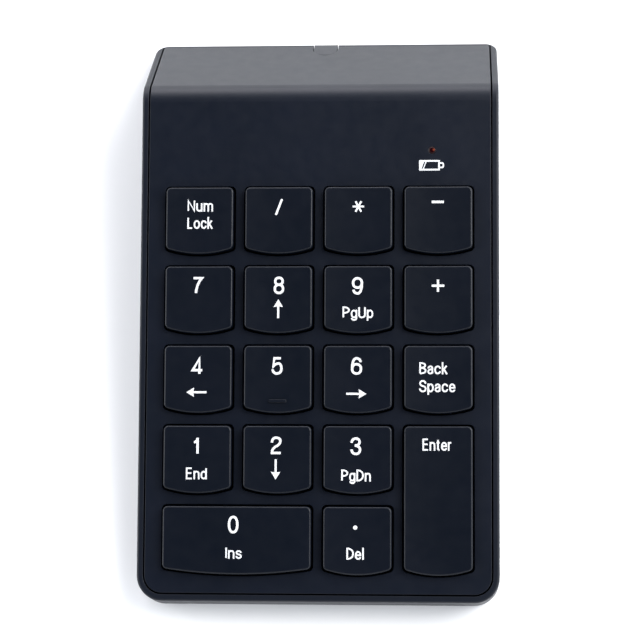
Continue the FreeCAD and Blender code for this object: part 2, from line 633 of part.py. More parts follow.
def make_wire_clips(body, key):
    """Two lugs under a double cap, each with a slot that holds the long bar of the wire."""
    for side in SIDES:
        along_key = f"({side}*(Dims.wire_half_span - 4))"
        bar_offset = "Dims.wire_arm"
        middle = (along_key, f"-{key_middle(key)} + {bar_offset}") if key == "0" else (
            bar_offset, f"-{key_middle(key)} + {along_key}")
        half = ("Dims.clip_width/2", "Dims.clip_half_length") if key == "0" else (
            "Dims.clip_half_length", "Dims.clip_width/2")
        play = "(Dims.wire_diameter/2 + Dims.wire_clip_play)"
        slot_half = ("2", play) if key == "0" else (play, "2")
        block(body, (f"{middle[0]} - {half[0]}", f"{middle[0]} + {half[0]}"),
              (f"{middle[1]} - {half[1]}", f"{middle[1]} + {half[1]}"),
              ("-Dims.skirt_depth", "Dims.key_rise - Dims.cap_roof + 0.3"))
        hollow(body, (f"{middle[0]} - {slot_half[0]}", f"{middle[0]} + {slot_half[0]}"),
               (f"{middle[1]} - {slot_half[1]}", f"{middle[1]} + {slot_half[1]}"),
               ("-Dims.skirt_depth - 1", "-Dims.wire_rest + Dims.wire_diameter/2 + 0.02"))


def make_dome(key):
    """A silicone dome: a foot ring, a sloping wall and a thick top under the plunger."""
    body = new_body("dome_" + key)
    lay_on_deck(body, key_centre_x(key), f"{key_top_along(key)} - {key_middle(key)}")
    foot, top = "Dims.dome_foot_diameter/2", "Dims.dome_top_diameter/2"
    low, high = "-Dims.field_depth", "-Dims.plunger_depth"
    wall = "Dims.dome_wall"
    profile = polygon(new_sketch(body, "XZ_Plane"), [
        (f"{foot} - 1.2", low), (foot, low), (foot, f"{low} + {wall}"), (f"{foot} - 0.6", f"{low} + {wall}"),
        (top, f"{high} - 0.4"), (top, high), ("0", high), ("0", f"{high} - 1.1"),
        (f"{top} - 0.5", f"{high} - 1.1")])
    revolve(body, profile)
    return body


def make_wire(key):
    """A steel wire: a long bar under the cap, two arms, and two ends that turn in the well's posts.

    The wire's own frame has its origin on the axis of the ends, which run along X, and its arms along +Y.
    """
    radius = "Dims.wire_diameter/2"
    span, arm, foot = "Dims.wire_half_span", "Dims.wire_arm", "Dims.wire_foot"
    runs = [
        ("X", f"-{span}", arm, f"2*{span}"),
        ("Y", f"-{span}", "0", arm), ("Y", span, "0", arm),
        ("X", f"-{span}", "0", foot), ("X", f"{span} - {foot}", "0", foot),
    ]
    axes = {"X": FreeCAD.Rotation(FreeCAD.Vector(0, 1, 0), 90), "Y": FreeCAD.Rotation(X_AXIS, -90)}
    pieces = []
    for direction, x, y, length in runs:
        rod = doc.addObject("Part::Cylinder", "WireRun")
        rod.Placement = FreeCAD.Placement(FreeCAD.Vector(), axes[direction])
        rod.setExpression("Placement.Base.x", x)
        rod.setExpression("Placement.Base.y", y)
        rod.setExpression("Radius", radius)
        rod.setExpression("Height", length)
        pieces.append(rod)
    for x in (f"-{span}", span):
        for y in ("0", arm):
            elbow = doc.addObject("Part::Sphere", "WireElbow")
            elbow.setExpression("Placement.Base.x", x)
            elbow.setExpression("Placement.Base.y", y)
            elbow.setExpression("Radius", radius)
            pieces.append(elbow)
    wire = doc.addObject("Part::MultiFuse", "Wire")
    wire.Shapes = pieces
    wire.Label = "stabilizer_wire_" + key
    drop = DIMENSIONS["wire_pivot"] - DIMENSIONS["wire_rest"]
    rise = math.degrees(math.asin(drop / DIMENSIONS["wire_arm"]))
    across = FreeCAD.Rotation() if key == "0" else FreeCAD.Rotation(FreeCAD.Vector(0, 0, 1), -90)
    tilt = FreeCAD.Rotation(X_AXIS, DIMENSIONS["deck_tilt"])
    wire.Placement = FreeCAD.Placement(FreeCAD.Vector(), tilt * across * FreeCAD.Rotation(X_AXIS, rise))
    along = f"{key_top_along(key)} - {key_middle(key)}"
    wire.setExpression("Placement.Base.x", key_centre_x(key))
    wire.setExpression("Placement.Base.y", on_deck_y(along, "-Dims.wire_pivot"))
    wire.setExpression("Placement.Base.z", on_deck_z(along, "-Dims.wire_pivot"))
    return wire


def make_membrane():
    """The contact sheet under the domes, with its tail that reaches over the circuit board."""
    body = new_body("membrane")
    lay_on_deck(body)
    low = "-Dims.field_depth - Dims.membrane_thickness"
    block(body, ("-Dims.field_half_width", "Dims.field_half_width"),
          ("Dims.field_front - 1", "Dims.field_rear"), (low, "-Dims.field_depth"))
    block(body, ("-Dims.tail_half_width", "Dims.tail_half_width"), ("Dims.field_rear - 1", "Dims.tail_end"),
          (low, "-Dims.field_depth"))
    return body


def make_support_plate():
    body = new_body("support_plate")
    lay_on_deck(body)
    high = "-Dims.field_depth - Dims.membrane_thickness"
    block(body, ("-Dims.field_half_width", "Dims.field_half_width"),
          ("Dims.field_front - 1.6", "Dims.field_rear"), (f"{high} - Dims.plate_thickness", high))
    return body


# ---------------------------------------------------------------- electronics

def make_pcb():
    body = new_body("pcb")
    lay_on_deck(body)
    high = "-Dims.board_top"
    block(body, ("-Dims.board_half_width", "Dims.board_half_width"),
          ("Dims.board_front", "Dims.board_rear"), (f"{high} - Dims.board_thickness", high))
    for side in SIDES:
        bore(body, f"{side}*Dims.board_post_x", "Dims.board_post_along", "Dims.board_screw_diameter + 0.2",
             (f"{high} - Dims.board_thickness - 1", f"{high} + 1"))
    return body


def make_pcb_components():
    """Controller, radio module, crystal and small parts on the board's upper face."""
    body = new_body("pcb_components")
    body.AllowCompound = True
    lay_on_deck(body)
    for x, along, width, length, height in BOARD_PARTS:
        block(body, (f"{x - width / 2}", f"{x + width / 2}"),
              (f"{along - length / 2}", f"{along + length / 2}"),
              ("-Dims.board_top", f"-Dims.board_top + {height}"))
    return body


def make_membrane_clamp_bar():
    body = new_body("membrane_clamp_bar")
    lay_on_deck(body)
    block(body, ("-Dims.tail_half_width - 2", "Dims.tail_half_width + 2"),
          ("Dims.tail_end - 2.6", "Dims.tail_end - 0.4"), ("-Dims.field_depth", "-Dims.field_depth + 1.5"))
    return body


def make_pcb_screws():
    body = new_body("pcb_screws")
    body.AllowCompound = True
    lay_on_deck(body)
    under_board = "-Dims.board_top - Dims.board_thickness"
    for side in SIDES:
        place = (f"{side}*Dims.board_post_x", "Dims.board_post_along")
        post(body, *place, "2*Dims.board_screw_diameter", (f"{under_board} - 1.1", under_board))
        post(body, *place, "Dims.board_screw_diameter - 0.1",
             (f"{under_board} - 0.2", "-Dims.board_top + 2.6"))
    return body


def make_led():
    """A small round lamp: foot flange, barrel and rounded tip."""
    body = new_body("led")
    lay_on_deck(body, "Dims.lamp_x", "Dims.lamp_along")
    low = "-Dims.board_top"
    profile = polygon(new_sketch(body, "XZ_Plane"), [
        ("0", low), ("1.7", low), ("1.7", f"{low} + 0.6"), ("1.4", f"{low} + 0.6"), ("1.4", f"{low} + 2.0"),
        ("1.1", f"{low} + 2.6"), ("0.5", f"{low} + 2.9"), ("0", f"{low} + 2.9")])
    revolve(body, profile)
    return body


def make_led_lens():
    """The light pipe that fills the lamp hole, with a low rounded end just above the deck."""
    body = new_body("led_lens")
    lay_on_deck(body, "Dims.lamp_x", "Dims.lamp_along")
    radius = "Dims.lens_diameter/2"
    profile = polygon(new_sketch(body, "XZ_Plane"), [
        ("0", "-3.2"), (radius, "-3.2"), (radius, "0"), (f"{radius}*0.7", "0.16"), ("0", "0.22")])
    revolve(body, profile)
    return body


# ---------------------------------------------------------------- battery compartment

def make_battery_door():
    """The door in the floor: plate, two front lugs, and a rear tongue that bends up the rear face."""
    body = new_body("battery_door")
    half_width = "(Dims.bay_half_width + Dims.door_lap)"
    front, rear = "(Dims.bay_front + 0.2)", "(Dims.bay_rear - 0.1)"
    block(body, (f"-{half_width}", half_width), (front, rear), ("Dims.foot_height", FLOOR_TOP))
    wall = "Dims.cover_wall"
    tip = "Dims.tongue_height"
    tongue = polygon(new_sketch(body, "YZ_Plane"), [
        (f"{rear} - 1", "Dims.foot_height"), (f"{LENGTH}/2", "Dims.foot_height"),
        (f"{LENGTH}/2", "Dims.rear_edge_height"), (rear_face_y(tip), tip),
        (rear_face_y(f"{tip} - 0.6", wall), f"{tip} - 0.6"), (rear_face_y(FLOOR_TOP, wall), FLOOR_TOP),
        (f"{rear} - 1", FLOOR_TOP)])
    pad(body, tongue, "2*Dims.tongue_half_width", symmetric=True)
    fillet(body, is_tongue_corner, "Dims.tongue_round")
    lug_top = f"{FLOOR_TOP} + Dims.lug_top"
    for side in SIDES:
        sides = (f"{side}*Dims.lug_x - Dims.lug_half_width", f"{side}*Dims.lug_x + Dims.lug_half_width")
        block(body, sides, (front, f"{front} + 1.8"), (f"{FLOOR_TOP} - {ROOT}", lug_top))
        block(body, sides, (f"{front} - Dims.lug_reach", f"{front} + {ROOT}"),
              (f"{FLOOR_TOP} + 0.15", lug_top))
    return body


def is_tongue_corner(edge):
    """The short edges at the tongue's upper corners."""
    box = edge.BoundBox
    is_high = box.ZMax > DIMENSIONS["tongue_height"] - 0.05
    return box.XLength < 0.01 and is_high and box.ZLength < DIMENSIONS["cover_wall"]


def make_cell(label, y, side):
    """A small round cell that lies along X, with its positive nub towards the given side."""
    body = new_body(label)
    body.Placement = FreeCAD.Placement(FreeCAD.Vector(), FreeCAD.Rotation(FreeCAD.Vector(0, 1, 0), 90 * side))
    body.setExpression("Placement.Base.x", f"{side}*(Dims.cell_shift - Dims.cell_length/2)")
    body.setExpression("Placement.Base.y", y)
    body.setExpression("Placement.Base.z", "Dims.cell_height")
    radius, length = "Dims.cell_diameter/2", "Dims.cell_length"
    bevel, nub = "Dims.cell_bevel", "Dims.nub_radius"
    profile = polygon(new_sketch(body, "XZ_Plane"), [
        ("0", "0"), (f"{radius} - {bevel}", "0"), (radius, bevel), (radius, f"{length} - {bevel}"),
        (f"{radius} - {bevel}", length), (nub, length), (nub, f"{length} + Dims.cell_nub"),
        ("0", f"{length} + Dims.cell_nub")])
    revolve(body, profile)
    return body


def make_battery_spring(label, y, side):
    """The coil that presses on a cell's negative end, which lies on the side away from its nub."""
    body = new_body(label)
    body.Placement = FreeCAD.Placement(FreeCAD.Vector(), FreeCAD.Rotation(FreeCAD.Vector(0, 1, 0), 90 * side))
    contact = "(Dims.bay_half_width - Dims.contact_thickness)"
    body.setExpression("Placement.Base.x", f"-{side}*({contact} - Dims.spring_wire/2)")
    body.setExpression("Placement.Base.y", y)
    body.setExpression("Placement.Base.z", "Dims.cell_height")
    sketch = circle(new_sketch(body, "XZ_Plane"), "Dims.spring_diameter/2", "0", "Dims.spring_wire")
    coil = body.newObject("PartDesign::AdditiveHelix", "Coil")
    coil.Profile = sketch
    coil.ReferenceAxis = (sketch, ["V_Axis"])
    coil.Mode = "height-turns-angle"
    coil.setExpression("Height", f"{contact} + Dims.cell_shift - Dims.cell_length/2 - Dims.spring_wire")
    coil.setExpression("Turns", "Dims.spring_turns")
    return body


def make_battery_plates():
    """Sheet contacts on the bay's end walls: one bridge on the left, two single plates on the right."""
    body = new_body("battery_plates")
    body.AllowCompound = True
    outer = "Dims.bay_half_width"
    inner = "(Dims.bay_half_width - Dims.contact_thickness)"
    half = "Dims.contact_half_width"
    height = ("Dims.contact_low", "Dims.contact_high")
    block(body, (f"-{outer}", f"-{inner}"), (f"Dims.front_cell - {half}", f"Dims.rear_cell + {half}"), height)
    block(body, (inner, outer), (f"Dims.front_cell - {half}", f"Dims.front_cell + {half}"), height)
    block(body, (inner, outer), (f"Dims.rear_cell - {half}", f"Dims.rear_cell + {half}"), height)
    return body


# ---------------------------------------------------------------- switch, screws and feet

def make_switch_housing():
    body = new_body("switch_housing")
    block(body, ("-5.2", "5.2"), ("Dims.switch_y - 2.6", "Dims.switch_y + 2.6"),
          (FLOOR_TOP, f"{FLOOR_TOP} + 3.4"))
    hollow(body, ("-2.6", "2.6"), ("Dims.switch_y - 0.9", "Dims.switch_y + 0.9"),
           (f"{FLOOR_TOP} - 1", f"{FLOOR_TOP} + 1.4"))
    return body


def make_switch_knob():
    """The sliding knob at its off end, with two grip grooves across it."""
    body = new_body("switch_knob")
    centre = "(-Dims.switch_travel/2)"
    low, high = "(Dims.foot_height + 0.2)", f"({FLOOR_TOP} - 0.1)"
    block(body, (f"{centre} - Dims.knob_half_length", f"{centre} + Dims.knob_half_length"),
          ("Dims.switch_y - Dims.knob_half_width", "Dims.switch_y + Dims.knob_half_width"), (low, high))
    block(body, (f"{centre} - 0.8", f"{centre} + 0.8"), ("Dims.switch_y - 0.6", "Dims.switch_y + 0.6"),
          (f"{high} - 0.2", f"{high} + 1.2"))
    for side in SIDES:
        groove = f"({centre} + {side}*Dims.grip_shift)"
        hollow(body, (f"{groove} - Dims.grip_half_width", f"{groove} + Dims.grip_half_width"),
               ("Dims.switch_y - 2", "Dims.switch_y + 2"), (f"{low} - 1", f"{low} + 0.3"))
    return body


def make_case_screws():
    body = new_body("case_screws")
    body.AllowCompound = True
    seat = "(Dims.foot_height + Dims.screw_recess)"
    for side in SIDES:
        place = (f"{side}*Dims.boss_x", "Dims.boss_y")
        post(body, *place, "Dims.screw_head", (f"{seat} - Dims.screw_head_height", seat))
        post(body, *place, "Dims.screw_diameter - 0.1", (f"{seat} - {ROOT}", f"{seat} + Dims.screw_length"))
        bore(body, *place, "Dims.screw_socket", ("0", f"{seat} - 0.8"))
    return body


def make_rubber_feet():
    body = new_body("rubber_feet")
    body.AllowCompound = True
    for x_side in SIDES:
        for y_side in SIDES:
            post(body, f"{x_side}*Dims.foot_x", f"{y_side}*Dims.foot_y", "Dims.foot_diameter",
                 ("0", "Dims.foot_height + Dims.foot_recess"))
    return body


# ---------------------------------------------------------------- build and export

nodes = [make_bottom_case(), make_top_case(), make_battery_door()]
nodes += [make_key(key) for key in KEYS]
nodes += [make_dome(key) for key in KEYS]
nodes += [make_wire("0"), make_wire("enter")]
nodes += [make_membrane(), make_support_plate(), make_pcb(), make_pcb_components(),
          make_membrane_clamp_bar(), make_pcb_screws(), make_led(), make_led_lens()]
nodes += [make_cell("battery_front", "Dims.front_cell", 1), make_cell("battery_rear", "Dims.rear_cell", -1),
          make_battery_spring("battery_spring_front", "Dims.front_cell", 1),
          make_battery_spring("battery_spring_rear", "Dims.rear_cell", -1), make_battery_plates()]
nodes += [make_switch_housing(), make_switch_knob(), make_case_screws(), make_rubber_feet()]

doc.recompute()
failed = [item.Label for item in doc.Objects if "Invalid" in item.State or "Error" in item.State]
if failed:
    raise RuntimeError(f"These did not build: {failed}")

os.makedirs("parts", exist_ok=True)
for node in nodes:
    shape = node.Shape
    if shape.isNull() or not shape.isValid() or not shape.Solids:
        raise RuntimeError(f"{node.Label} has no valid solid")
    shape.exportStep(f"parts/{node.Label}.step")
    print(f"{node.Label}: {len(shape.Solids)} solid, {shape.Volume:.1f} mm3")
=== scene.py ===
import bpy
import json
import math
from mathutils import Matrix, Vector
from mathutils.bvhtree import BVHTree


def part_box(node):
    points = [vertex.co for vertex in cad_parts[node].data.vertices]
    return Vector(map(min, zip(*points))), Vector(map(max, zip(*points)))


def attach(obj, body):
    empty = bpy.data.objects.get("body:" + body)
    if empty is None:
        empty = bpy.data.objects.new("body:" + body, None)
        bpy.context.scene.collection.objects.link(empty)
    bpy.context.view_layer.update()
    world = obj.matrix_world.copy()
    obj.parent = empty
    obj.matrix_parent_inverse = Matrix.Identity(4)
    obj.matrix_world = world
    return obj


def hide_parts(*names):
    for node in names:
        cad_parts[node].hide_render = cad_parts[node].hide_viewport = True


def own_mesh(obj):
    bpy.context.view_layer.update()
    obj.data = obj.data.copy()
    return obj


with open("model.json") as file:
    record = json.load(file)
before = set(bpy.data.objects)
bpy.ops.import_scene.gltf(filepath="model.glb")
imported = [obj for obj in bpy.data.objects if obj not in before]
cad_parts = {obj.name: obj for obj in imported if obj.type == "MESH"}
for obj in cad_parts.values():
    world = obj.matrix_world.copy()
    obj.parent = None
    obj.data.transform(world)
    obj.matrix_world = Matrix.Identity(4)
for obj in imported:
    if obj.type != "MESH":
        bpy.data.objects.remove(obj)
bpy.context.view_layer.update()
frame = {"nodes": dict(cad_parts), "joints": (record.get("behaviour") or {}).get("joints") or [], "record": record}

MM = 0.001
NODES = frame["nodes"]
JOINTS = {joint["name"]: joint for joint in frame["joints"]}
KEYS = [name[len("key_"):] for name in NODES if name.startswith("key_")]

# The deck's own directions: across it, up its slope, and out of it. A key is pressed straight into the deck.
PRESS = Vector(JOINTS["key_5_press"]["axis"]).normalized()
OUT = -PRESS
ACROSS = Vector((1, 0, 0))
UP_SLOPE = OUT.cross(ACROSS)


def key_centre(key):
    return Vector(JOINTS[f"key_{key}_press"]["pos_m"])


# The outline midway between a key's sides and the deck: how tall its straight sides are, and how far its
# lower edge bulges beyond them. The enter key is one row taller.
GAP_SIDE = 15.1 * MM
GAP_BULGE = 1.4 * MM
KEY_PITCH = (key_centre("8") - key_centre("7")).x


def key_top(key):
    """How far the middle of the gap above a key is from the key's centre, in millimetres up the slope."""
    taller = KEY_PITCH if key == "enter" else 0.0
    return (GAP_SIDE + GAP_BULGE + taller) / 2 / MM


# ---------------------------------------------------------------- materials

# Surfaces by name: two tones that drift into each other, the range of roughness, how fine the grain is (the
# noise's scale, to the metre) and how deep it is.
SURFACES = {
    "case_plastic": dict(low=(0.0014, 0.0032, 0.0082), high=(0.0022, 0.0041, 0.0098), rough=(0.35, 0.39),
                         grain=6000, depth=0.012 * MM, edge_radius=0.2 * MM, specular=0.32),
    "tub_plastic": dict(low=(0.0012, 0.0030, 0.0078), high=(0.0020, 0.0038, 0.0090), rough=(0.42, 0.46),
                        grain=6000, depth=0.012 * MM, edge_radius=0.2 * MM, specular=0.27),
    "key_plastic": dict(low=(0.0004, 0.0019, 0.0056), high=(0.0010, 0.0025, 0.0066), rough=(0.335, 0.37),
                        grain=7000, depth=0.008 * MM, edge_radius=0.15 * MM, specular=0.30),
    "silicone": dict(low=(0.70, 0.70, 0.68), high=(0.78, 0.78, 0.76), rough=(0.45, 0.6),
                     grain=4000, depth=0.01 * MM),
    "foot_rubber": dict(low=(0.012, 0.012, 0.013), high=(0.022, 0.022, 0.023), rough=(0.75, 0.9),
                        grain=5000, depth=0.03 * MM, edge_radius=0.3 * MM, specular=0.3),
    "film": dict(low=(0.55, 0.57, 0.55), high=(0.62, 0.64, 0.62), rough=(0.15, 0.3),
                 grain=2000, depth=0.005 * MM),
    "steel": dict(low=(0.50, 0.51, 0.53), high=(0.62, 0.62, 0.63), rough=(0.25, 0.4),
                  grain=4000, depth=0.008 * MM, edge_radius=0.1 * MM, metallic=1.0),
    "spring_steel": dict(low=(0.62, 0.61, 0.58), high=(0.74, 0.73, 0.70), rough=(0.15, 0.3),
                         grain=4000, depth=0.004 * MM, metallic=1.0),
    "board": dict(low=(0.008, 0.075, 0.030), high=(0.014, 0.100, 0.040), rough=(0.25, 0.35),
                  grain=1500, depth=0.01 * MM),
    "component_black": dict(low=(0.012, 0.012, 0.013), high=(0.020, 0.020, 0.021), rough=(0.5, 0.65),
                            grain=6000, depth=0.01 * MM, edge_radius=0.15 * MM),
    "led_clear": dict(low=(0.45, 0.05, 0.04), high=(0.55, 0.07, 0.05), rough=(0.05, 0.12),
                      grain=2000, depth=0.002 * MM),
    "print_white": dict(low=(0.62, 0.63, 0.64), high=(0.68, 0.68, 0.68), rough=(0.5, 0.65),
                        grain=5000, depth=0.004 * MM),
    "floor_paper": dict(low=(0.94, 0.94, 0.94), high=(0.96, 0.96, 0.96), rough=(0.6, 0.7),
                        grain=900, depth=0.02 * MM, patch=4.0),
}
# Nodes whose material isn't the one named by their slot.
OWN_MATERIAL = {"bottom_case": "tub_plastic", "battery_front": "cell_front", "battery_rear": "cell_rear"}

TONE_PATCH = 60.0
WEAR_TO_TONE = 6
NOISE_SPAN = (0.3, 0.7)
BEVEL_SAMPLES = 6

LENS_TONE = (0.010, 0.0008, 0.0016)
LENS_ROUGH = (0.22, 0.32)
LENS_WEAR = 900
LENS_GRAIN = 3000
LENS_GRAIN_DEPTH = 0.003 * MM
LENS_SPECULAR = 0.12
# The glint of the lamp in it, a painted highlight in the lens's colour: how far it is from the lens's middle,
# in millimetres, and the radii between which it fades.
PAINTED_GLINT_TONE = (0.16, 0.028, 0.012)
GLINT_ACROSS = 0.40
GLINT_UP_SLOPE = -0.12
GLINT_FADE = (0.12 * MM, 0.36 * MM)

# A cell, from its flat end to its nub: a bare rim, the sleeve, a band, and a bare cap.
CELL_METAL = (0.72, 0.72, 0.74)
CELL_SLEEVE = (0.055, 0.095, 0.150)
CELL_BAND_TONE = (0.60, 0.62, 0.64)
CELL_RIM = 0.6 * MM
CELL_BAND = 12.0 * MM
CELL_CAP = 1.3 * MM
CELL_SHADE = (0.85, 0.85, 0.85)
CELL_SHADE_PATCH = 120
CELL_ROUGH = (0.18, 0.32)
CELL_WEAR = 600
CELL_GRAIN = 1500
CELL_GRAIN_DEPTH = 0.004 * MM
BARE = (1, 1, 1)
PRINTED = (0.2, 0.2, 0.2)


def new_material(name):
    material = bpy.data.materials.new(name)
    material.use_nodes = True
    nodes = material.node_tree.nodes
    return material, nodes, material.node_tree.links, nodes["Principled BSDF"]


def add_noise(nodes, links, scale, detail=4.0, roughness=0.5):
    """Noise in the object's own metres, so its grain keeps a real size."""
    place = nodes.new("ShaderNodeTexCoord")
    noise = nodes.new("ShaderNodeTexNoise")
    noise.inputs["Scale"].default_value = scale
    noise.inputs["Detail"].default_value = detail
    noise.inputs["Roughness"].default_value = roughness
    links.new(place.outputs["Object"], noise.inputs["Vector"])
    return noise.outputs["Fac"]


def add_ramp(nodes, links, factor, low, high, start=0.35, end=0.65):
    ramp = nodes.new("ShaderNodeValToRGB")
    ramp.color_ramp.elements[0].position = start
    ramp.color_ramp.elements[1].position = end
    ramp.color_ramp.elements[0].color = (*low, 1)
    ramp.color_ramp.elements[1].color = (*high, 1)
    links.new(factor, ramp.inputs["Fac"])
    return ramp.outputs["Color"]


def add_steps(nodes, links, factor, positions, colours):
    """A ramp that jumps from each colour to the next."""
    ramp = nodes.new("ShaderNodeValToRGB")
    ramp.color_ramp.interpolation = "CONSTANT"
    elements = ramp.color_ramp.elements
    while len(elements) < len(positions):
        elements.new(1.0)
    for element, position, colour in zip(elements, positions, colours):
        element.position = position
        element.color = (*colour, 1)
    links.new(factor, ramp.inputs["Fac"])
    return ramp.outputs["Color"]


def add_range(nodes, links, value, start, end, low=0.0, high=1.0):
    """A value between start and end, moved to between low and high."""
    moved = nodes.new("ShaderNodeMapRange")
    moved.inputs["From Min"].default_value = start
    moved.inputs["From Max"].default_value = end
    moved.inputs["To Min"].default_value = low
    moved.inputs["To Max"].default_value = high
    links.new(value, moved.inputs["Value"])
    return moved.outputs["Result"]


def add_bump(nodes, links, height, shader, depth, edge_radius=0.0):
    """A grain, on edges that look rounded by edge_radius."""
    bump = nodes.new("ShaderNodeBump")
    bump.inputs["Strength"].default_value = 1.0
    bump.inputs["Distance"].default_value = depth
    links.new(height, bump.inputs["Height"])
    if edge_radius:
        edge = nodes.new("ShaderNodeBevel")
        edge.samples = BEVEL_SAMPLES
        edge.inputs["Radius"].default_value = edge_radius
        links.new(edge.outputs["Normal"], bump.inputs["Normal"])
    links.new(bump.outputs["Normal"], shader.inputs["Normal"])


def textured(name, low, high, rough, grain, depth, metallic=0.0, edge_radius=0.0, patch=TONE_PATCH,
             specular=0.5):
    """A surface whose colour drifts between two tones, whose gloss varies, and which has a fine grain."""
    material, nodes, links, shader = new_material(name)
    drift = add_noise(nodes, links, patch)
    links.new(add_ramp(nodes, links, drift, low, high), shader.inputs["Base Color"])
    wear = add_noise(nodes, links, patch * WEAR_TO_TONE, detail=6.0)
    links.new(add_range(nodes, links, wear, *NOISE_SPAN, *rough), shader.inputs["Roughness"])
    add_bump(nodes, links, add_noise(nodes, links, grain, detail=2.0), shader, depth, edge_radius)
    shader.inputs["Metallic"].default_value = metallic
    shader.inputs["Specular IOR Level"].default_value = specular
    return material


def make_lens_material():
    """Dark red plastic, with the glint of the lamp's own die painted into its colour off to one side."""
    material, nodes, links, shader = new_material("lens_red")
    low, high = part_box("led_lens")
    glint = (low + high) / 2 + ACROSS * GLINT_ACROSS * MM + UP_SLOPE * GLINT_UP_SLOPE * MM
    place = nodes.new("ShaderNodeTexCoord")
    flat = nodes.new("ShaderNodeVectorMath")
    flat.operation = "MULTIPLY"
    flat.inputs[1].default_value = (1, 1, 0)
    links.new(place.outputs["Object"], flat.inputs[0])
    distance = nodes.new("ShaderNodeVectorMath")
    distance.operation = "DISTANCE"
    distance.inputs[1].default_value = (glint.x, glint.y, 0)
    links.new(flat.outputs["Vector"], distance.inputs[0])
    fade = add_range(nodes, links, distance.outputs["Value"], *GLINT_FADE)
    # Painted glint: the base colour turns orange around one spot and fades to the lens's dark red.
    links.new(add_ramp(nodes, links, fade, PAINTED_GLINT_TONE, LENS_TONE, 0.0, 1.0), shader.inputs["Base Color"])
    wear = add_noise(nodes, links, LENS_WEAR)
    links.new(add_range(nodes, links, wear, *NOISE_SPAN, *LENS_ROUGH), shader.inputs["Roughness"])
    add_bump(nodes, links, add_noise(nodes, links, LENS_GRAIN), shader, LENS_GRAIN_DEPTH)
    shader.inputs["Specular IOR Level"].default_value = LENS_SPECULAR
    return material


def make_cell_material(name, cell, spring):
    """A cell's printed sleeve, with a light band at its positive end and bare metal at both ends."""
    material, nodes, links, shader = new_material(name)
    low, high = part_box(cell)
    spring_is_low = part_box(spring)[0].x < (low.x + high.x) / 2
    flat_end, nub_end = (low.x, high.x) if spring_is_low else (high.x, low.x)
    place = nodes.new("ShaderNodeTexCoord")
    split = nodes.new("ShaderNodeSeparateXYZ")
    links.new(place.outputs["Object"], split.inputs["Vector"])
    along = add_range(nodes, links, split.outputs["X"], flat_end, nub_end)
    length = abs(nub_end - flat_end)
    starts = [0.0, CELL_RIM / length, 1 - CELL_BAND / length, 1 - CELL_CAP / length]
    tones = add_steps(nodes, links, along, starts, [CELL_METAL, CELL_SLEEVE, CELL_BAND_TONE, CELL_METAL])
    metal = add_steps(nodes, links, along, starts, [BARE, PRINTED, PRINTED, BARE])
    shade = add_ramp(nodes, links, add_noise(nodes, links, CELL_SHADE_PATCH), CELL_SHADE, (1, 1, 1))
    shaded = nodes.new("ShaderNodeMix")
    shaded.data_type = "RGBA"
    shaded.blend_type = "MULTIPLY"
    shaded.inputs["Factor"].default_value = 1.0
    links.new(tones, shaded.inputs["A"])
    links.new(shade, shaded.inputs["B"])
    links.new(shaded.outputs["Result"], shader.inputs["Base Color"])
    links.new(metal, shader.inputs["Metallic"])
    wear = add_noise(nodes, links, CELL_WEAR)
    links.new(add_range(nodes, links, wear, *NOISE_SPAN, *CELL_ROUGH), shader.inputs["Roughness"])
    add_bump(nodes, links, add_noise(nodes, links, CELL_GRAIN), shader, CELL_GRAIN_DEPTH)
    return material


def make_materials():
    materials = {name: textured(name, **look) for name, look in SURFACES.items()}
    materials["lens_red"] = make_lens_material()
    for cell in ("front", "rear"):
        name = "cell_" + cell
        materials[name] = make_cell_material(name, "battery_" + cell, "battery_spring_" + cell)
    return materials


def paint_nodes(materials):
    for part in frame["record"]["subparts"]:
        node = NODES[part["node"]]
        node.data.materials.clear()
        node.data.materials.append(materials[OWN_MATERIAL.get(part["node"], part["material_slot"])])


# ---------------------------------------------------------------- printed legends

# The print stands above the surface by PRINT_RISE and reaches into it by PRINT_SINK. Each stroke is thicker
# than the one before by STROKE_STEP each way, so that no two share a plane.
PRINT_RISE = 0.015 * MM
PRINT_SINK = 0.03 * MM
STROKE_STEP = 0.0015 * MM
# How far above a key's centre the search for the surface starts, in millimetres.
RAY_START = 10

# Corners: rounder than any stroke allows, so as round as fits; the points on one; how far its handles reach.
ROUND = 9.0
CURVE_STEPS = 8
HANDLE = 0.6
# How much of a straight run a corner may take, alone on it or with a second one at its other end.
ALONE_SHARE = 0.98
PAIR_SHARE = 0.5
SAME_POINT = 1e-4
# A mitre reaches at most the stroke's half width divided by this.
SHARPEST_MITRE = 0.45

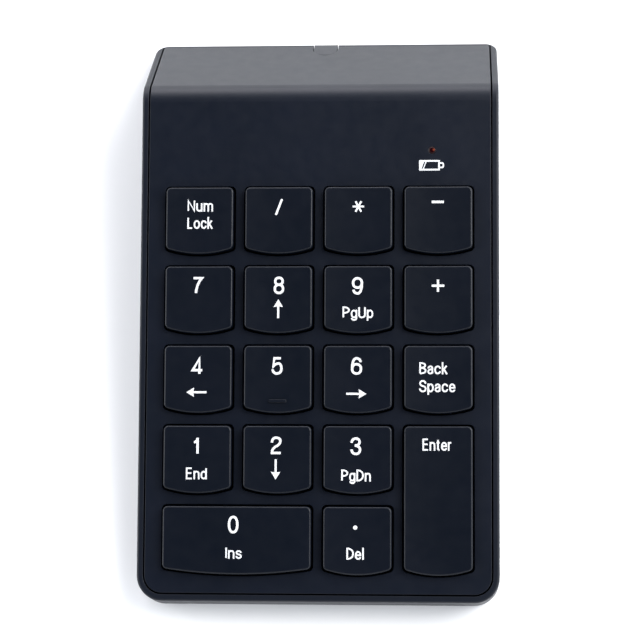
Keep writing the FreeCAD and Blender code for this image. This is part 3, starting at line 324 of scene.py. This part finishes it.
# Letters as pen strokes: width, then each stroke's corners as (x, y) with the largest round corner that fits,
# or (x, y, radius). A stroke that starts with "o" closes on itself. x is in capital heights; y is 0 on the
# baseline's own stroke and 1 on a capital's top stroke, so small letters reach 0.68.
GLYPHS = {
    "0": (0.54, ["o", (0, 0), (0.54, 0), (0.54, 1), (0, 1)]),
    "1": (0.27, [(0.0, 0.74), (0.25, 0.76), (0.27, 1.02)], [(0.27, 0), (0.27, 1.03)]),
    "2": (0.54, [(0.0, 0.68), (0.0, 1), (0.53, 1), (0.53, 0.56), (0.0, 0.30), (0.0, 0, 0), (0.56, 0)]),
    "3": (0.54, [(0.0, 0.72), (0.02, 1), (0.51, 1), (0.51, 0.54), (0.2, 0.54)],
          [(0.2, 0.54), (0.54, 0.54), (0.54, 0), (0, 0), (0, 0.29)]),
    "4": (0.56, [(0.58, 0.24), (-0.02, 0.24, 0), (0.40, 1.0, 0), (0.40, 0)]),
    "5": (0.54, [(0.50, 1), (0.10, 1, 0), (0.03, 0.46, 0), (0.16, 0.66), (0.54, 0.66), (0.54, 0), (0, 0),
                 (0, 0.27)]),
    "6": (0.54, ["o", (0, 0), (0.54, 0), (0.54, 0.62), (0, 0.62)],
          [(0, 0.34), (0, 1), (0.51, 1), (0.51, 0.75)]),
    "7": (0.54, [(0, 1), (0.55, 1, 0), (0.20, 0.62), (0.17, 0)]),
    "8": (0.54, ["o", (0, 0), (0.54, 0), (0.54, 0.54), (0, 0.54)],
          ["o", (0.03, 0.54), (0.51, 0.54), (0.51, 1), (0.03, 1)]),
    "9": (0.54, ["o", (0, 0.38), (0.54, 0.38), (0.54, 1), (0, 1)],
          [(0.54, 0.66), (0.54, 0), (0.03, 0), (0.03, 0.25)]),
    "N": (0.52, [(0, 0), (0, 1, 0), (0.52, 0, 0), (0.52, 1)]),
    "L": (0.40, [(0, 1), (0, 0, 0), (0.40, 0)]),
    "P": (0.48, [(0, 0), (0, 1, 0), (0.48, 1), (0.48, 0.44), (0, 0.44)]),
    "U": (0.50, [(0, 1), (0, 0, 0.25), (0.50, 0, 0.25), (0.50, 1)]),
    "D": (0.52, ["o", (0, 0, 0), (0.52, 0), (0.52, 1), (0, 1, 0)]),
    "E": (0.45, [(0.45, 1), (0, 1, 0), (0, 0, 0), (0.46, 0)], [(0, 0.53), (0.42, 0.53)]),
    "I": (0.0, [(0, 0), (0, 1)]),
    "S": (0.52, [(0.50, 0.74), (0.50, 1), (0.02, 1), (0.02, 0.54), (0.52, 0.48), (0.52, 0), (0, 0),
                 (0, 0.28)]),
    "B": (0.50, [(0, 0), (0, 1, 0), (0.46, 1), (0.46, 0.54), (0, 0.54)],
          [(0, 0.54), (0.50, 0.54), (0.50, 0), (0, 0)]),
    "a": (0.40, [(0.01, 0.48), (0.03, 0.68), (0.38, 0.68, 0.22), (0.38, 0)],
          [(0.38, 0.40), (0.0, 0.40), (0.0, 0), (0.38, 0), (0.38, 0.22)]),
    "c": (0.44, [(0.44, 0.46), (0.43, 0.68), (0, 0.68), (0, 0), (0.43, 0), (0.44, 0.22)]),
    "d": (0.42, ["o", (0, 0), (0.42, 0), (0.42, 0.68), (0, 0.68)], [(0.42, -0.07), (0.42, 1)]),
    "e": (0.42, [(0.0, 0.35), (0.42, 0.35, 0), (0.42, 0.68), (0, 0.68), (0, 0), (0.41, 0), (0.41, 0.17)]),
    "g": (0.42, ["o", (0, 0), (0.42, 0), (0.42, 0.68), (0, 0.68)],
          [(0.42, 0.75), (0.42, -0.25, 0.2), (0.03, -0.25), (0.02, -0.07)]),
    "k": (0.39, [(0, -0.08), (0, 1.08)], [(0.36, 0.74), (0.0, 0.24)], [(0.12, 0.40), (0.40, -0.08)]),
    "l": (0.0, [(0, -0.08), (0, 1.08)]),
    "m": (0.68, [(0, -0.08), (0, 0.75)], [(0, 0.40), (0, 0.68, 0.2), (0.34, 0.68, 0.2), (0.34, -0.08)],
          [(0.34, 0.40), (0.34, 0.68, 0.2), (0.68, 0.68, 0.2), (0.68, -0.08)]),
    "n": (0.40, [(0, -0.08), (0, 0.75)], [(0, 0.38), (0, 0.68, 0.24), (0.40, 0.68, 0.24), (0.40, -0.08)]),
    "o": (0.48, ["o", (0, 0), (0.48, 0), (0.48, 0.68), (0, 0.68)]),
    "p": (0.42, ["o", (0, 0), (0.42, 0), (0.42, 0.68), (0, 0.68)], [(0, 0.75), (0, -0.32)]),
    "r": (0.24, [(0, -0.08), (0, 0.75)], [(0, 0.40), (0, 0.68, 0.2), (0.25, 0.68)]),
    "s": (0.38, [(0.36, 0.50), (0.36, 0.68), (0.01, 0.68), (0.01, 0.37), (0.38, 0.33), (0.38, 0), (0, 0),
                 (0, 0.19)]),
    "t": (0.24, [(0.10, 0.95), (0.10, 0, 0.12), (0.25, 0)], [(-0.04, 0.68), (0.25, 0.68)]),
    "u": (0.40, [(0, 0.75), (0, 0, 0.24), (0.40, 0, 0.24), (0.40, 0.30)], [(0.40, 0.75), (0.40, -0.08)]),
}


def corner_curve(before, corner, after, reach_in, reach_out):
    """The points round one corner, on a curve a little squarer than an ellipse."""
    start = corner + (before - corner).normalized() * reach_in
    end = corner + (after - corner).normalized() * reach_out
    handle_in, handle_out = start.lerp(corner, HANDLE), end.lerp(corner, HANDLE)
    points = []
    for step in range(CURVE_STEPS + 1):
        t = step / CURVE_STEPS
        points.append(start * (1 - t) ** 3 + handle_in * 3 * t * (1 - t) ** 2
                      + handle_out * 3 * t * t * (1 - t) + end * t ** 3)
    return points


def stroke_line(corners, closed=False):
    """A pen stroke's middle line: straight runs, each corner rounded by as much as it asks or as fits."""
    places = [Vector(corner[:2]) for corner in corners]
    radii = [corner[2] if len(corner) > 2 else ROUND for corner in corners]
    count = len(corners)
    line = []
    for number, place in enumerate(places):
        is_end = not closed and number in (0, count - 1)
        if is_end or radii[number] == 0:
            line.append(place)
            continue
        reaches = []
        for neighbour in ((number - 1) % count, (number + 1) % count):
            run = (places[neighbour] - place).length
            is_alone = radii[neighbour] == 0 or (not closed and neighbour in (0, count - 1))
            reaches.append(min(radii[number], run * (ALONE_SHARE if is_alone else PAIR_SHARE)))
        line += corner_curve(places[number - 1], place, places[(number + 1) % count], *reaches)
    return without_repeats(line, closed)


def without_repeats(line, closed):
    """The line without points that lie on the one before."""
    kept = [line[0]]
    for point in line[1:]:
        if (point - kept[-1]).length > SAME_POINT:
            kept.append(point)
    if closed and (kept[0] - kept[-1]).length < SAME_POINT:
        kept.pop()
    return kept


class Drawing:
    """Closed outlines across and up the deck in millimetres, gathered as one thin plate."""

    def __init__(self):
        self.vertices = []
        self.faces = []
        self.levels = 0

    def add_band(self, line, width, closed=False):
        """A stroke of even width along a line, its corners mitred. Each point makes four vertices."""
        count = len(line)
        sides = []
        for number, point in enumerate(line):
            before = line[number - 1] if closed or number else None
            after = line[(number + 1) % count] if closed or number < count - 1 else None
            into = (point - before).normalized() if before is not None else None
            out = (after - point).normalized() if after is not None else None
            into, out = into or out, out or into
            along = (into + out).normalized()
            mitre = 1 / max(SHARPEST_MITRE, along.dot(out))
            side = Vector((-along.y, along.x)) * width / 2 * mitre
            sides.append((point + side, point - side))
        first = len(self.vertices)
        self.levels += 1
        for left, right in sides:
            for level in (self.levels, -self.levels):
                self.vertices += [(left.x, left.y, level), (right.x, right.y, level)]
        for number in range(count if closed else count - 1):
            here, following = first + 4 * number, first + 4 * ((number + 1) % count)
            for a, b in ((0, 1), (1, 3), (3, 2), (2, 0)):
                self.faces.append((here + a, here + b, following + b, following + a))
        if not closed:
            last = first + 4 * (count - 1)
            self.faces += [(first, first + 2, first + 3, first + 1), (last, last + 1, last + 3, last + 2)]

    def add_straight(self, strokes, up=0.0):
        """Straight strokes, each as (x from, y from, x to, y to, width), moved up the slope."""
        for x_from, y_from, x_to, y_to, width in strokes:
            self.add_band([Vector((x_from, y_from + up)), Vector((x_to, y_to + up))], width)

    def add_plate(self, outline):
        """A filled outline. Its points go anticlockwise, all in sight of the first."""
        first, count = len(self.vertices), len(outline)
        self.levels += 1
        for level in (self.levels, -self.levels):
            self.vertices += [(x, y, level) for x, y in outline]
        self.faces.append(tuple(range(first, first + count)))
        self.faces.append(tuple(reversed(range(first + count, first + 2 * count))))
        for number in range(count):
            a, b = first + number, first + (number + 1) % count
            self.faces.append((a, a + count, b + count, b))

    def add_arrow(self, tail, tip):
        along = (tip - tail).normalized()
        side = Vector((-along.y, along.x)) * HEAD_WIDTH / 2
        neck = tip - along * HEAD_LENGTH
        self.add_band([tail, neck + along * SHAFT_OVERLAP], SHAFT_WIDTH)
        self.add_plate([tuple(tip), tuple(neck + side), tuple(neck + along * HEAD_NOTCH), tuple(neck - side)])

    def add_words(self, words, height, left, right, baseline, weight):
        """Letters from left to right between two lines, spaced to fill the width, in one stroke width."""
        places, reach = [], 0.0
        for letter in words:
            places.append(reach)
            reach += GLYPHS[letter][0] + LETTER_GAP
        reach -= LETTER_GAP
        stretch = (right - left - weight) / reach
        for letter, place in zip(words, places):
            for stroke in GLYPHS[letter][1:]:
                closed = stroke[0] == "o"
                line = stroke_line(stroke[1:] if closed else stroke, closed)
                spots = [Vector((left + weight / 2 + (place + point.x) * stretch,
                                 baseline + weight / 2 + point.y * (height - weight))) for point in line]
                self.add_band(spots, weight, closed)

    def lay(self, name, centre, support, material, body, slot):
        """Lays the drawing on a CAD surface: its face just above it, its back just inside."""
        tree = BVHTree.FromPolygons([vertex.co for vertex in support.data.vertices],
                                    [polygon.vertices for polygon in support.data.polygons])
        places = []
        for x, y, level in self.vertices:
            above = centre + ACROSS * x * MM + UP_SLOPE * y * MM + OUT * RAY_START * MM
            hit = tree.ray_cast(above, PRESS)[0]
            places.append(hit + OUT * ((PRINT_RISE if level > 0 else -PRINT_SINK) + level * STROKE_STEP))
        mesh = bpy.data.meshes.new(name)
        mesh.from_pydata(places, [], self.faces)
        mesh.materials.append(material)
        piece = bpy.data.objects.new(name, mesh)
        bpy.context.scene.collection.objects.link(piece)
        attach(piece, body)


def disc(x, y, diameter, steps=24):
    turns = [2 * math.pi * step / steps for step in range(steps)]
    return [(x + diameter / 2 * math.cos(turn), y + diameter / 2 * math.sin(turn)) for turn in turns]


# Lettering on the keys: key, words, capital height, left, right, baseline below the gap above the key.
# Left and right are measured from the middle of the key; all are in millimetres.
WORDS = [
    ("num_lock", "Num", 2.85, -2.95, 3.2, 6.1), ("num_lock", "Lock", 2.85, -2.95, 3.2, 10.25),
    ("7", "7", 4.15, -1.6, 0.95, 6.95), ("8", "8", 4.2, -1.15, 1.4, 6.95), ("9", "9", 4.2, -1.5, 1.15, 7.1),
    ("4", "4", 4.2, -1.5, 1.2, 7.25), ("5", "5", 4.2, -1.5, 1.15, 7.15), ("6", "6", 4.2, -1.65, 1.0, 7.15),
    ("1", "1", 4.2, -1.1, 0.35, 7.15), ("2", "2", 4.2, -1.55, 1.05, 6.95), ("3", "3", 4.2, -1.7, 0.85, 7.1),
    ("0", "0", 4.2, -2.07, 0.47, 6.65),
    ("9", "PgUp", 2.8, -3.7, 3.6, 12.72), ("1", "End", 2.8, -2.65, 2.35, 12.97),
    ("3", "PgDn", 2.8, -3.85, 3.15, 13.3), ("backspace", "Back", 2.85, -4.5, 2.2, 7.0),
    ("backspace", "Space", 2.85, -4.55, 4.0, 11.25), ("enter", "Enter", 2.85, -3.75, 3.2, 6.0),
    ("0", "Ins", 2.8, -2.6, 1.3, 12.58), ("decimal", "Del", 2.8, -2.55, 1.55, 12.62),
]
DIGIT_WEIGHT = 0.57
WORD_WEIGHT = 0.38
LETTER_GAP = 0.23  # in capital heights

# Signs, arrows and the decimal point, from the middle of the gap above the key, in millimetres: strokes as
# (x from, y from, x to, y to, width) and arrows as (tail, tip).
SIGN_STROKES = {
    "divide": [(-0.72, -6.95, 0.72, -3.15, 0.5)],
    "multiply": [(-1.4, -5.0, 1.35, -5.0, 0.44), (-0.7, -6.25, 0.65, -3.75, 0.44),
                 (-0.7, -3.75, 0.65, -6.25, 0.44)],
    "minus": [(-1.6, -3.97, 1.3, -3.97, 0.6)],
    "plus": [(-1.6, -4.99, 1.4, -4.99, 0.54), (-0.1, -6.44, -0.1, -3.54, 0.54)],
}
ARROWS = {
    "8": ((0.0, -12.7), (0.0, -8.2)),
    "2": ((-0.35, -8.15), (-0.35, -12.95)),
    "4": ((2.05, -11.35), (-2.75, -11.35)),
    "6": ((-2.75, -11.66), (2.02, -11.66)),
}
# An arrow's shaft and head. The back of the head is notched, and the shaft ends inside it.
SHAFT_WIDTH = 0.5
SHAFT_OVERLAP = 0.3
HEAD_WIDTH = 2.25
HEAD_LENGTH = 1.85
HEAD_NOTCH = 0.2
POINT_PLACE = (-0.5, -5.1)
POINT_DIAMETER = 1.0

# The battery mark, in millimetres from the middle of the lamp: its left end, its long sides and its right end
# as strokes, the charge with its slanted edge, the slanted line beside it, and the terminal's corners.
BATTERY_OUTLINE = [
    (-2.86, -4.72, -2.86, -2.6, 0.5),
    (-3.11, -4.72, 1.86, -4.72, 0.42),
    (-3.11, -2.6, 1.86, -2.6, 0.42),
    (1.66, -4.8, 1.66, -2.52, 0.4),
]
BATTERY_CHARGE = [(-2.8, -4.6), (-2.55, -4.6), (-1.88, -2.7), (-2.8, -2.7)]
BATTERY_SLANT = (-2.14, -4.62, -1.42, -2.7, 0.24)
BATTERY_TERMINAL = [(1.8, -4.2, 0), (2.68, -4.2, 0.35), (2.68, -3.12, 0.35), (1.8, -3.12, 0)]
TERMINAL_WEIGHT = 0.36


def print_keys(material):
    drawings = {key: Drawing() for key in KEYS}
    for key, words, height, left, right, below in WORDS:
        weight = DIGIT_WEIGHT if words == key else WORD_WEIGHT
        drawings[key].add_words(words, height, left, right, key_top(key) - below, weight)
    for key, strokes in SIGN_STROKES.items():
        drawings[key].add_straight(strokes, key_top(key))
    for key, ends in ARROWS.items():
        drawings[key].add_arrow(*(Vector((x, y + key_top(key))) for x, y in ends))
    x, y = POINT_PLACE
    drawings["decimal"].add_plate(disc(x, y + key_top("decimal"), POINT_DIAMETER))
    for key, drawing in drawings.items():
        cap = "key_" + key
        drawing.lay("print_" + key, key_centre(key), NODES[cap], material, cap, "key_plastic")


def print_battery_mark(material):
    """A battery below the lamp, almost empty, with its terminal at the right."""
    low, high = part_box("led_lens")
    mark = Drawing()
    mark.add_straight(BATTERY_OUTLINE)
    mark.add_plate(BATTERY_CHARGE)
    mark.add_straight([BATTERY_SLANT])
    mark.add_band(stroke_line(BATTERY_TERMINAL), TERMINAL_WEIGHT)
    mark.lay("print_battery", (low + high) / 2, NODES["top_case"], material, "case", "case_plastic")


# ---------------------------------------------------------------- soft domes

# A dome's half section as (radius, height) in millimetres from the middle of its top: down the outside, round
# the rim and back up the inside. The first and last rings are closed with flat faces.
DOME_SECTION = [(2.0, 0.0), (2.3, -0.25), (2.35, -0.6), (3.45, -1.9), (3.75, -2.1), (4.2, -2.15),
                (4.2, -2.58), (3.0, -2.58), (1.85, -1.1)]
DOME_TURNS = 28
# How far its top is below the key's centre, in millimetres.
DOME_BELOW_KEY = 5.4


def dome_mesh(top):
    """A closed bell of even section, turned about a line square to the deck."""
    vertices, faces = [], []
    for radius, height in DOME_SECTION:
        for step in range(DOME_TURNS):
            turn = 2 * math.pi * step / DOME_TURNS
            vertices.append(top + ACROSS * radius * MM * math.cos(turn)
                            + UP_SLOPE * radius * MM * math.sin(turn) + OUT * height * MM)
    for ring in range(0, len(vertices) - DOME_TURNS, DOME_TURNS):
        for step in range(DOME_TURNS):
            here, beside = ring + step, ring + (step + 1) % DOME_TURNS
            faces.append((here, here + DOME_TURNS, beside + DOME_TURNS, beside))
    faces.append(tuple(range(DOME_TURNS)))
    faces.append(tuple(reversed(range(len(vertices) - DOME_TURNS, len(vertices)))))
    mesh = bpy.data.meshes.new("dome")
    mesh.from_pydata(vertices, [], faces)
    mesh.validate()
    return mesh


def make_domes(material):
    """Silicone domes under the keys, in place of the CAD ones."""
    for key in KEYS:
        top = key_centre(key) - OUT * DOME_BELOW_KEY * MM
        mesh = dome_mesh(top)
        piece = bpy.data.objects.new("soft_dome_" + key, mesh)
        bpy.context.scene.collection.objects.link(piece)
        mesh.materials.append(material)
        mesh.shade_smooth()
        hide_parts("dome_" + key)
        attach(piece, "case")
        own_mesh(piece)


# ---------------------------------------------------------------- stage

FLOOR_SIZE = 6.0
WHITE = (1, 1, 1)

# Soft boxes: name, width, height, watts, place and colour, in metres. All face the keypad.
LIGHTS = [
    ("right_window", 0.9, 0.9, 22, (0.90, 0.42, 1.12), WHITE),
    ("rear_window", 1.4, 0.84, 8.4, (-0.35, 1.6, 0.62), (1.0, 0.90, 0.94)),
    ("left_window", 1.2, 1.2, 11, (-1.35, 0.1, 0.7), WHITE),
    ("front_fill", 1.2, 1.2, 1.5, (-0.1, -1.4, 0.9), WHITE),
]
LIGHT_TARGET = (0, 0, 0.01)

# The studio round them is light near the horizon and dark overhead, and lightest towards SKY_SIDE. It fades
# with the height of the direction, and its strength grows with how far the direction points to that side.
SKY_COLOUR = (3.1, 3.25, 3.5)
SKY_FADE = (0.40, 0.92)
SKY_SIDE = (0.55, 0.83, 0.0)
SKY_SIDE_SPAN = (-0.9, 0.5)
SKY_STRENGTH = (0.36, 0.90)

# The camera: angles in degrees, distance in metres, the place it aims at and its shift in millimetres.
CAMERA_AZIMUTH = 16.63
CAMERA_ELEVATION = 77.24
CAMERA_ROLL = -16.27
CAMERA_DISTANCE = 0.51283
CAMERA_TARGET = (0.32, -3.41, 14.95)
CAMERA_SHIFT = (-0.18, 0.22)
CAMERA_SENSOR = 36.0
CAMERA_LENS = 120.1
CAMERA_CLIP = 0.01


def make_floor(material):
    bpy.ops.mesh.primitive_plane_add(size=FLOOR_SIZE, location=(0, 0, 0))
    floor = bpy.context.object
    floor.name = "floor"
    floor.data.materials.append(material)


def make_lights():
    for name, width, height, power, place, colour in LIGHTS:
        data = bpy.data.lights.new(name, "AREA")
        data.shape = "RECTANGLE"
        data.size = width
        data.size_y = height
        data.energy = power
        data.color = colour
        lamp = bpy.data.objects.new(name, data)
        bpy.context.scene.collection.objects.link(lamp)
        lamp.location = place
        lamp.rotation_mode = "QUATERNION"
        lamp.rotation_quaternion = (Vector(LIGHT_TARGET) - Vector(place)).to_track_quat("-Z", "Y")


def make_sky():
    world = bpy.data.worlds.new("studio")
    bpy.context.scene.world = world
    world.use_nodes = True
    nodes, links = world.node_tree.nodes, world.node_tree.links
    place = nodes.new("ShaderNodeTexCoord")
    split = nodes.new("ShaderNodeSeparateXYZ")
    links.new(place.outputs["Generated"], split.inputs["Vector"])
    colour = add_ramp(nodes, links, split.outputs["Z"], SKY_COLOUR, (0, 0, 0), *SKY_FADE)
    links.new(colour, nodes["Background"].inputs["Color"])
    towards_side = nodes.new("ShaderNodeVectorMath")
    towards_side.operation = "DOT_PRODUCT"
    towards_side.inputs[1].default_value = SKY_SIDE
    links.new(place.outputs["Generated"], towards_side.inputs[0])
    strength = add_range(nodes, links, towards_side.outputs["Value"], *SKY_SIDE_SPAN, *SKY_STRENGTH)
    links.new(strength, nodes["Background"].inputs["Strength"])
    bpy.context.scene.view_settings.view_transform = "Standard"


def make_camera():
    """A long lens high above the front right, turned a little about its own axis."""
    azimuth, elevation = math.radians(CAMERA_AZIMUTH), math.radians(CAMERA_ELEVATION)
    roll = math.radians(CAMERA_ROLL)
    back = Vector((math.sin(azimuth) * math.cos(elevation), -math.cos(azimuth) * math.cos(elevation),
                   math.sin(elevation)))
    level = (-back).cross(Vector((0, 0, 1))).normalized()
    upright = level.cross(-back)
    right = level * math.cos(roll) + upright * math.sin(roll)
    above = upright * math.cos(roll) - level * math.sin(roll)
    data = bpy.data.cameras.new("camera")
    data.sensor_width = CAMERA_SENSOR
    data.lens = CAMERA_LENS
    data.clip_start = CAMERA_CLIP
    camera = bpy.data.objects.new("camera", data)
    bpy.context.scene.collection.objects.link(camera)
    turn = Matrix((right, above, back)).transposed().to_4x4()
    aim = (Vector(CAMERA_TARGET) + right * CAMERA_SHIFT[0] + above * CAMERA_SHIFT[1]) * MM
    camera.matrix_world = Matrix.Translation(aim + back * CAMERA_DISTANCE) @ turn
    bpy.context.scene.camera = camera


# ---------------------------------------------------------------- build

MATERIALS = make_materials()
paint_nodes(MATERIALS)
print_keys(MATERIALS["print_white"])
print_battery_mark(MATERIALS["print_white"])
make_domes(MATERIALS["silicone"])
make_floor(MATERIALS["floor_paper"])
make_lights()
make_sky()
make_camera()
